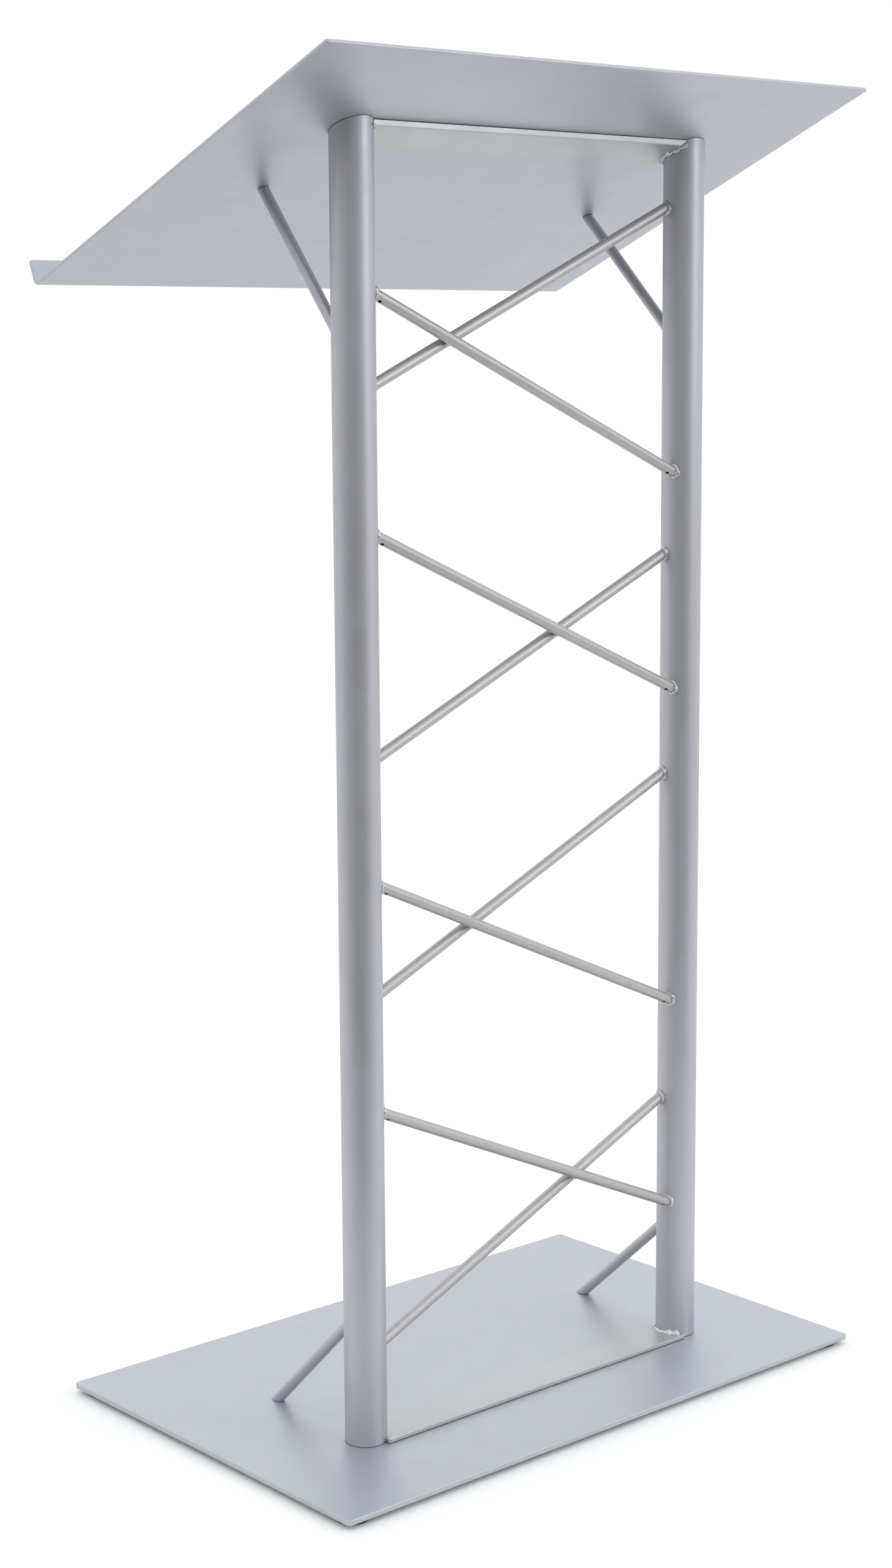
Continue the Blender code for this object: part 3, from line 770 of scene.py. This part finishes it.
def make_screw(name, kind, grip, matrix):
    """A countersunk screw with a softened head rim and a chamfered tip."""
    shank, head, height = kind
    outline = [(0.0, 0.0), (head - HEAD_RIM, 0.0), (head, HEAD_RIM), (head, GAP), (shank, height),
               (shank, grip - TIP_CHAMFER), (shank - TIP_CHAMFER, grip), (0.0, grip)]
    plated_screw(name, outline, SOCKET_DEPTH * height, head, matrix)


def foot_places():
    """The X and Y of each foot's axis."""
    places = {}
    for row in ROWS:
        for side in SIDES:
            low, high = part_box(f"foot_{row}_{side}")
            places[f"{row}_{side}"] = ((low.x + high.x) / 2, (low.y + high.y) / 2)
    return places


def make_foot(corner, x, y):
    """A moulded foot with a rounded rim, a recess and its pan-head screw."""
    radius = (FOOT_HIGH.x - FOOT_LOW.x) / 2
    top = FOOT_HIGH.z
    shank, head, height = FOOT_SCREW
    bend = 0.3 * FOOT_RIM
    profile = [(FOOT_RECESS + FOOT_MOUTH, 0.0), (radius - FOOT_RIM, 0.0), (radius - bend, bend),
               (radius, FOOT_RIM), (radius - FOOT_DRAFT, top), (shank + GAP, top),
               (shank + GAP, FOOT_RECESS_DEPTH), (FOOT_RECESS, FOOT_RECESS_DEPTH),
               (FOOT_RECESS, FOOT_MOUTH)]
    matrix = Matrix.Translation((x, y, 0.0))
    bm = placed(turned(profile, ROD_SIDES), matrix)
    smooth(add_piece(f"foot_{corner}_moulded", bm, "moulded_rubber",
                     ["foot_" + corner]))
    head_top = FOOT_RECESS_DEPTH - GAP
    tip = PLATE_LOW.z + FOOT_THREAD
    rim = head_top - height
    outline = [(0.0, rim)] + [(head - inset, rim + lift) for inset, lift in PAN_CROWN]
    outline += [(head, head_top), (shank, head_top), (shank, tip), (0.0, tip)]
    plated_screw("foot_screw_" + corner, outline, head_top - height / 2, head, matrix)


# ---------------------------------------------------------------- welds

BEAD_SIDES = 16
BEAD_SHARP = 60                # degrees: only a pit's rim stays sharp
RING_STEPS = 96
RING_CLEAR = 0.3 * MM          # from the tube's side to the middle of its ring bead
RING_OUT = 0.3                 # how far the ring's middle stands off the post, per radius
RING_THIN = 0.5                # its size on the speaker's side
RING_GROWTH = 0.6              # and what it gains towards the audience
LEFT_RING_SHARE = 0.9
ARC_STEP = 1.2                 # degrees
ARC_OUT = 0.45                 # how far a bar bead's middle stands off the post, per radius
ARC_MERGE = 0.02 * MM
RING_RUFFLE = 0.4              # a ring's fine lumps across its section, per lumpiness
ARC_RUFFLE = 0.5
LUMP = 4.5 * MM                # spacing of a bead's lumps
RIPPLE = 1.6 * MM              # spacing of its ripples and pits
RIPPLE_SHARE = 0.5
RIPPLE_SHIFT = Vector((7.0, 3.0, 1.0))
PIT_SHARE = 3.0
PIT_LEVEL = 0.35
PIT_SHIFT = Vector((31.0, 17.0, 5.0))
TACK_SIZE = Vector((3.4 * MM, 2.2 * MM, 1.7 * MM))
TACK_DROP = ROD_RADIUS * 0.86 / math.cos(TRUSS_ANGLE)
TACK_SHIFT = Vector((-3.5 * MM, 0.0, 2 * MM - TACK_DROP))      # from the crossing

# Beads between a bar and each post: first and last angle about the post, share of the radius
BOTTOM_BAR_BEADS = {
    "right": [(126, 168, 0.85), (158, 204, 1.0), (192, 238, 2.0)],
    "left": [(-56, -34, 0.55), (-20, 52, 0.5)],
}
TOP_BAR_BEADS = {
    "right": [(122, 176, 1.15), (162, 206, 1.4), (192, 230, 1.3), (222, 234, 1.0)],
    "left": [(-62, -30, 0.8), (-36, 50, 0.6)],
}


def swelling(place, lumpiness):
    """How much a bead swells at a place: lumps a few millimetres long, finer ripples and pits."""
    lumps = noise.noise(place / LUMP)
    ripples = noise.noise(place / RIPPLE + RIPPLE_SHIFT)
    pits = max(0.0, noise.noise(place / RIPPLE + PIT_SHIFT) - PIT_LEVEL)
    return 1.0 + lumpiness * (lumps + RIPPLE_SHARE * ripples - PIT_SHARE * pits)


def welded(name, bm):
    """A weld bead under the frame's coat, its colour painted lighter as painted light on the bead.
    """
    piece = add_piece(name, bm, "silver_coat_on_weld", [])
    smooth(piece, angle=BEAD_SHARP)


def bead_section(radius, centre):
    """The round section of a bead, standing in the XZ plane at this distance from Z."""
    bm = bmesh.new()
    place = Matrix.Translation((centre, 0.0, 0.0)) @ Matrix.Rotation(math.pi / 2, 4, "X")
    bmesh.ops.create_circle(bm, cap_ends=False, segments=BEAD_SIDES, radius=radius, matrix=place)
    return bm


def weld_ring(name, start, end, side, sizes, share=1.0):
    """The lumpy bead round a tube's or brace's end, following the post's surface."""
    along = (end - start).normalized()
    ring = ROD_RADIUS + RING_CLEAR
    radius = sizes.ring_radius * share
    bm = bead_section(radius, ring)
    bmesh.ops.spin(bm, geom=bm.verts[:] + bm.edges[:], cent=(0, 0, 0), axis=(0, 0, 1),
                   dvec=(0, 0, 0), angle=FULL_TURN, steps=RING_STEPS, use_merge=True)
    bmesh.ops.remove_doubles(bm, verts=bm.verts[:], dist=MERGE)
    place = aimed(start, end)
    for vert in bm.verts:
        outward = Vector((vert.co.x, vert.co.y, 0.0)).normalized()
        core = place @ (outward * ring)
        core += along * (reach_post(core, along, side, POST_RADIUS) + RING_OUT * radius)
        offset = place.to_3x3() @ (vert.co - outward * ring)
        towards_audience = max(0.0, -(place.to_3x3() @ outward).y)
        swell = (RING_THIN + RING_GROWTH * towards_audience) * swelling(core, sizes.lumpiness)
        vert.co = core + offset * swell * swelling(core + offset, RING_RUFFLE * sizes.lumpiness)
    welded(name, bm)


def weld_arc(name, side, face, spans, sizes):
    """Beads along a post where a bar's face meets it.

    face gives the height of the bar's face at a point; each span is the first and last angle
    about the post's axis, and its share of the bead's radius.
    """
    centre = post_axis(side)
    parts = []
    for first, last, share in spans:
        radius = sizes.seam_radius * share
        ring = POST_RADIUS + ARC_OUT * radius
        bm = bead_section(radius, ring)
        steps = max(16, round((last - first) / ARC_STEP))
        bmesh.ops.rotate(bm, verts=bm.verts[:], cent=(0, 0, 0),
                         matrix=Matrix.Rotation(math.radians(first), 3, "Z"))
        bmesh.ops.spin(bm, geom=bm.verts[:] + bm.edges[:], cent=(0, 0, 0), axis=(0, 0, 1),
                       dvec=(0, 0, 0), angle=math.radians(last - first), steps=steps,
                       use_merge=False)
        for vert in bm.verts:
            outward = Vector((vert.co.x, vert.co.y, 0.0)).normalized()
            turn = math.degrees(math.atan2(outward.y, outward.x)) - first
            travel = (turn % 360.0) / (last - first)
            # An angle a hair before the first comes round as almost a full turn
            travel = 0.0 if travel > 1.5 else min(travel, 1.0)
            taper = max(0.0, 1.0 - (2.0 * travel - 1.0) ** 4) ** 0.5
            core = centre + outward * ring
            core.z = face(core)
            offset = vert.co - outward * ring
            swell = swelling(core, sizes.lumpiness) * taper
            ruffle = swelling(core + offset, ARC_RUFFLE * sizes.lumpiness)
            vert.co = core + offset * swell * ruffle
        bmesh.ops.remove_doubles(bm, verts=bm.verts[:], dist=ARC_MERGE)
        bmesh.ops.recalc_face_normals(bm, faces=bm.faces[:])
        parts.append(bm)
    joined = parts[0]
    for extra in parts[1:]:
        mesh = bpy.data.meshes.new("bead")
        extra.to_mesh(mesh)
        extra.free()
        joined.from_mesh(mesh)
        bpy.data.meshes.remove(mesh)
    welded(name, joined)


def over_bottom_bar(_):
    """The height of the bottom bar's upper face."""
    return PLATE_TOP + GAP + BOTTOM_BAR_THICKNESS


def under_top_bar(point):
    """The height of the top bar's underside above this point's Y."""
    below = (SEAM + TOP_BAR_THICKNESS) / math.cos(DESK_TILT)
    return on_desk(0.0, down_slope(point.y), 0.0).z - below


def tack(name, rising, falling, sizes):
    """The small weld in the left corner where a rising and a falling tube touch."""
    low_a, high_a = truss_ends(rising)
    low_b, high_b = truss_ends(falling)
    slope_a = (high_a.z - low_a.z) / (2 * POST_X)
    slope_b = (high_b.z - low_b.z) / (2 * POST_X)
    middle_a = (low_a + high_a) / 2
    middle_b = (low_b + high_b) / 2
    x = (middle_b.z - middle_a.z) / (slope_a - slope_b)
    crossing = Vector((x, POST_Y, middle_a.z + slope_a * x))
    corner = crossing + TACK_SHIFT
    bm = bmesh.new()
    bmesh.ops.create_icosphere(bm, subdivisions=4, radius=1.0)
    for vert in bm.verts:
        shape = vert.co * TACK_SIZE
        vert.co = corner + shape * swelling(corner + shape, sizes.lumpiness)
    welded(name, bm)


# ---------------------------------------------------------------- operators

class LECTERN_OT_base_plate(bpy.types.Operator):
    """Make the flat base plate"""

    bl_idname = "lectern.base_plate"
    bl_label = "Base Plate"

    def execute(self, context):
        """Make the plate."""
        make_base_plate(context.scene.lectern_frame)
        return {"FINISHED"}


class LECTERN_OT_posts(bpy.types.Operator):
    """Make the two round posts"""

    bl_idname = "lectern.posts"
    bl_label = "Posts"

    def execute(self, context):
        """Make a post on each side, and plate the plugs in their feet."""
        for side in SIDES:
            make_post(side, context.scene.lectern_frame)
            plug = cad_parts[side + "_post_plug"]
            plug.data.materials.clear()
            plug.data.materials.append(finish("bright_zinc_plate"))
        return {"FINISHED"}


class LECTERN_OT_bars(bpy.types.Operator):
    """Make the flat bars that tie the posts together"""

    bl_idname = "lectern.bars"
    bl_label = "Flat Bars"

    def execute(self, context):
        """Make the bottom bar on the plate and the top bar under the desk."""
        sizes = context.scene.lectern_frame
        height = PLATE_TOP + GAP + BOTTOM_BAR_THICKNESS / 2
        make_bar("bottom_bar", BOTTOM_BAR_THICKNESS, 0.0,
                 Matrix.Translation((0.0, BOTTOM_BAR_Y, height)),
                 [row for row in base_screws() if "bar" in row[0]], sizes)
        down = down_slope(TOP_BAR_FRONT_Y) + BAR_WIDTH / 2
        place = DESK_PLACE @ Matrix.Translation((0.0, down, -SEAM - TOP_BAR_THICKNESS / 2))
        make_bar("top_bar", TOP_BAR_THICKNESS, DESK_TILT, place,
                 [row for row in desk_screws() if "bar" in row[0]], sizes)
        return {"FINISHED"}


class LECTERN_OT_truss(bpy.types.Operator):
    """Make the crossing truss tubes"""

    bl_idname = "lectern.truss"
    bl_label = "Truss Tubes"

    def execute(self, context):
        """Make each tube between the posts."""
        for name in TRUSS_NAMES:
            make_truss_tube(name, context.scene.lectern_frame)
        return {"FINISHED"}


class LECTERN_OT_braces(bpy.types.Operator):
    """Make the four braces behind the posts"""

    bl_idname = "lectern.braces"
    bl_label = "Braces"

    def execute(self, context):
        """Make an upper and a lower brace on each side."""
        for side in SIDES:
            make_brace(side, True)
            make_brace(side, False)
        return {"FINISHED"}


class LECTERN_OT_desk(bpy.types.Operator):
    """Make the sloping desk with its lip"""

    bl_idname = "lectern.desk"
    bl_label = "Desk"

    def execute(self, context):
        """Make the folded sheet."""
        make_desk_panel(context.scene.lectern_frame)
        return {"FINISHED"}


class LECTERN_OT_screws(bpy.types.Operator):
    """Make the countersunk screws"""

    bl_idname = "lectern.screws"
    bl_label = "Screws"

    def execute(self, context):
        """Make each screw under the base and in the desk."""
        for name, kind, grip, matrix in base_screws() + desk_screws():
            make_screw(name, kind, grip, matrix)
        return {"FINISHED"}


class LECTERN_OT_feet(bpy.types.Operator):
    """Make the rubber feet and their screws"""

    bl_idname = "lectern.feet"
    bl_label = "Feet"

    def execute(self, context):
        """Make a foot under each corner."""
        for corner, (x, y) in foot_places().items():
            make_foot(corner, x, y)
        return {"FINISHED"}


class LECTERN_OT_welds(bpy.types.Operator):
    """Make the weld beads"""

    bl_idname = "lectern.welds"
    bl_label = "Welds"

    def execute(self, context):
        """Make the rings round the tubes' ends, the bars' seams and the tacks at the crossings."""
        sizes = context.scene.lectern_weld
        for name in TRUSS_NAMES:
            start, end = truss_ends(name)
            weld_ring(name + "_weld_left", start, end, "left", sizes, LEFT_RING_SHARE)
            weld_ring(name + "_weld_right", end, start, "right", sizes)
        for side in SIDES:
            weld_ring(f"upper_{side}_brace_weld", *brace_axis(side, True), side, sizes)
            weld_ring(f"lower_{side}_brace_weld", *brace_axis(side, False), side, sizes)
        for number in (1, 2, 3, 4):
            tack(f"truss_tack_{number}", f"truss_rising_{number}", f"truss_falling_{number}", sizes)
        for side, spans in BOTTOM_BAR_BEADS.items():
            weld_arc("bottom_bar_weld_" + side, side, over_bottom_bar, spans, sizes)
        for side, spans in TOP_BAR_BEADS.items():
            weld_arc("top_bar_weld_" + side, side, under_top_bar, spans, sizes)
        return {"FINISHED"}


class LECTERN_OT_stage(bpy.types.Operator):
    """Set up the floor, the studio light and the camera"""

    bl_idname = "lectern.stage"
    bl_label = "Studio"

    def execute(self, context):
        """Make the stage."""
        studio = context.scene.lectern_stage
        add_floor(studio)
        add_world(studio)
        add_lights(studio)
        add_camera(studio)
        context.scene.view_settings.view_transform = "Standard"
        return {"FINISHED"}


# ---------------------------------------------------------------- stage

FLOOR_RADIUS = 2.4
FLOOR_CENTRE = Vector((1.05, 1.2, 0.0))   # the floor runs away behind the lectern
FLOOR_CLOUDS = 500 * MM                   # spacing of the paint's faint cloudiness
SOFTBOX_SIDE = 1.1
SOFTBOX_PLACE = Vector((1.40, -2.59, 1.7))
SOFTBOX_TARGET = Vector((0.0, 0.0, 1.0))
SOFTBOX_COLOUR = (0.94, 0.96, 1.0)

# The light round about, in linear colours
WALL_LIGHT = (0.80, 0.80, 0.81, 1.0)
CEILING_LIGHT = (0.98, 0.99, 1.01, 1.0)
ROOM_LIGHT = (0.19, 0.183, 0.172, 1.0)    # the unlit end of the studio
CARPET_LIGHT = (0.02, 0.02, 0.02, 1.0)
BACKDROP_WHITE = (1.0, 1.0, 1.0, 1.0)
DARK_SIDE = Vector((-0.62, -0.785, 0.0))  # towards the unlit end


def add_floor(studio):
    """A wide plain floor with a soft sheen."""
    bm = bmesh.new()
    bmesh.ops.create_circle(bm, cap_ends=True, segments=96, radius=FLOOR_RADIUS,
                            matrix=Matrix.Translation(FLOOR_CENTRE))
    mesh = bpy.data.meshes.new("studio_floor")
    bm.to_mesh(mesh)
    bm.free()
    material, tree, shader, place = new_material("painted_studio_floor")
    shade = add_node(tree, "ShaderNodeTexNoise", {"Scale": per_metre(FLOOR_CLOUDS), "Detail": 2.0},
                     {"Vector": place})
    cloudy = [0.99 * c for c in studio.floor_colour]
    mixed = add_node(tree, "ShaderNodeMix",
                     {"data_type": "RGBA", 6: (*studio.floor_colour, 1.0), 7: (*cloudy, 1.0)},
                     {0: shade.outputs["Fac"]})
    tree.links.new(mixed.outputs[2], shader.inputs["Base Color"])
    shader.inputs["Roughness"].default_value = 0.65
    mesh.materials.append(material)
    floor = bpy.data.objects.new("studio_floor", mesh)
    bpy.context.scene.collection.objects.link(floor)


def add_world(studio):
    """White light from above, a little less at eye level, and a dim end of the room."""
    world = bpy.data.worlds.new("white_studio")
    world.use_nodes = True
    bpy.context.scene.world = world
    tree = world.node_tree
    tree.nodes.clear()
    ray = add_node(tree, "ShaderNodeTexCoord").outputs["Generated"]
    height = add_node(tree, "ShaderNodeSeparateXYZ", None, {0: ray}).outputs["Z"]
    ceiling = add_node(tree, "ShaderNodeMapRange",
                       {"interpolation_type": "SMOOTHSTEP", "From Min": -0.05, "From Max": 0.3},
                       {"Value": height})
    walls = add_node(tree, "ShaderNodeMix",
                     {"data_type": "RGBA", 6: WALL_LIGHT, 7: CEILING_LIGHT},
                     {0: ceiling.outputs["Result"]})
    facing = add_node(tree, "ShaderNodeVectorMath", {"operation": "DOT_PRODUCT", 1: DARK_SIDE},
                      {0: ray})
    side = add_node(tree, "ShaderNodeMapRange", {"From Min": -0.1, "From Max": 1.0},
                    {"Value": facing.outputs["Value"]})
    low = add_node(tree, "ShaderNodeMapRange",
                   {"interpolation_type": "SMOOTHSTEP", "From Min": 0.02, "From Max": 0.42,
                    "To Min": 1.0, "To Max": 0.0}, {"Value": height})
    dim = add_node(tree, "ShaderNodeMath", {"operation": "MULTIPLY"},
                   {0: side.outputs["Result"], 1: low.outputs["Result"]})
    carpet = add_node(tree, "ShaderNodeMapRange",
                      {"interpolation_type": "SMOOTHSTEP", "From Min": -0.25, "From Max": 0.1},
                      {"Value": height})
    room = add_node(tree, "ShaderNodeMix", {"data_type": "RGBA", 6: CARPET_LIGHT, 7: ROOM_LIGHT},
                    {0: carpet.outputs["Result"]})
    mixed = add_node(tree, "ShaderNodeMix", {"data_type": "RGBA"},
                     {0: dim.outputs["Value"], 6: walls.outputs[2], 7: room.outputs[2]})
    light = add_node(tree, "ShaderNodeBackground", {"Strength": studio.studio_strength},
                     {"Color": mixed.outputs[2]})
    backdrop = add_node(tree, "ShaderNodeBackground", {"Color": BACKDROP_WHITE})
    seen = add_node(tree, "ShaderNodeLightPath").outputs["Is Camera Ray"]
    chosen = add_node(tree, "ShaderNodeMixShader", None,
                      {0: seen, 1: light.outputs["Background"], 2: backdrop.outputs["Background"]})
    add_node(tree, "ShaderNodeOutputWorld", None, {"Surface": chosen.outputs["Shader"]})


def add_lights(studio):
    """A square softbox ahead and to the right, which draws the long highlight down each post."""
    softbox = bpy.data.lights.new("softbox", "AREA")
    softbox.shape = "SQUARE"
    softbox.size = SOFTBOX_SIDE
    softbox.energy = studio.softbox_power
    softbox.color = SOFTBOX_COLOUR
    lamp = bpy.data.objects.new("softbox", softbox)
    bpy.context.scene.collection.objects.link(lamp)
    lamp.location = SOFTBOX_PLACE
    lamp.rotation_euler = (SOFTBOX_TARGET - SOFTBOX_PLACE).to_track_quat("-Z", "Y").to_euler()
    lamp.visible_camera = False


def add_camera(studio):
    """The camera, level apart from its small roll."""
    heading, pitch, roll = studio.camera_heading, studio.camera_pitch, studio.camera_roll
    ahead = Vector((math.sin(heading) * math.cos(pitch), math.cos(heading) * math.cos(pitch),
                    math.sin(pitch)))
    right = Vector((math.cos(heading), -math.sin(heading), 0.0))
    up = right.cross(ahead)
    across = right * math.cos(roll) + up * math.sin(roll)
    upright = up * math.cos(roll) - right * math.sin(roll)
    data = bpy.data.cameras.new("lectern_camera")
    data.lens = studio.camera_lens
    data.clip_end = 50.0
    camera = bpy.data.objects.new("lectern_camera", data)
    bpy.context.scene.collection.objects.link(camera)
    turn = Matrix((across, upright, -ahead)).transposed().to_4x4()
    camera.matrix_world = Matrix.Translation(studio.camera_place) @ turn
    bpy.context.scene.camera = camera


# ---------------------------------------------------------------- panel and registration

OPERATORS = (LECTERN_OT_base_plate, LECTERN_OT_posts, LECTERN_OT_bars, LECTERN_OT_truss,
             LECTERN_OT_braces, LECTERN_OT_desk, LECTERN_OT_screws, LECTERN_OT_feet,
             LECTERN_OT_welds, LECTERN_OT_stage)
SETTINGS = {"lectern_frame": LecternFrameSettings, "lectern_weld": LecternWeldSettings,
            "lectern_finish": LecternFinishSettings, "lectern_stage": LecternStageSettings}


class LECTERN_PT_pieces(bpy.types.Panel):
    """The lectern's settings and the buttons that build it"""

    bl_idname = "LECTERN_PT_pieces"
    bl_label = "Presentation Lectern"
    bl_space_type = "VIEW_3D"
    bl_region_type = "UI"
    bl_category = "Lectern"

    def draw(self, context):
        """List every setting, then every operator."""
        for group in SETTINGS:
            settings = getattr(context.scene, group)
            column = self.layout.box().column()
            for key in settings.__annotations__:
                column.prop(settings, key)
        for operator in OPERATORS:
            self.layout.operator(operator.bl_idname)


def register():
    """Register the classes and hang their settings on the scene."""
    for group in SETTINGS.values():
        bpy.utils.register_class(group)
    for operator in OPERATORS:
        bpy.utils.register_class(operator)
    bpy.utils.register_class(LECTERN_PT_pieces)
    for key, group in SETTINGS.items():
        setattr(bpy.types.Scene, key, PointerProperty(type=group))


def unregister():
    """Take the classes and settings away again."""
    for key in SETTINGS:
        delattr(bpy.types.Scene, key)
    bpy.utils.unregister_class(LECTERN_PT_pieces)
    for operator in reversed(OPERATORS):
        bpy.utils.unregister_class(operator)
    for group in reversed(list(SETTINGS.values())):
        bpy.utils.unregister_class(group)


def main():
    """Build everything."""
    register()
    bpy.ops.lectern.base_plate()
    bpy.ops.lectern.posts()
    bpy.ops.lectern.bars()
    bpy.ops.lectern.truss()
    bpy.ops.lectern.braces()
    bpy.ops.lectern.desk()
    bpy.ops.lectern.screws()
    bpy.ops.lectern.feet()
    bpy.ops.lectern.welds()
    bpy.ops.lectern.stage()


if __name__ == "__main__":
    main()
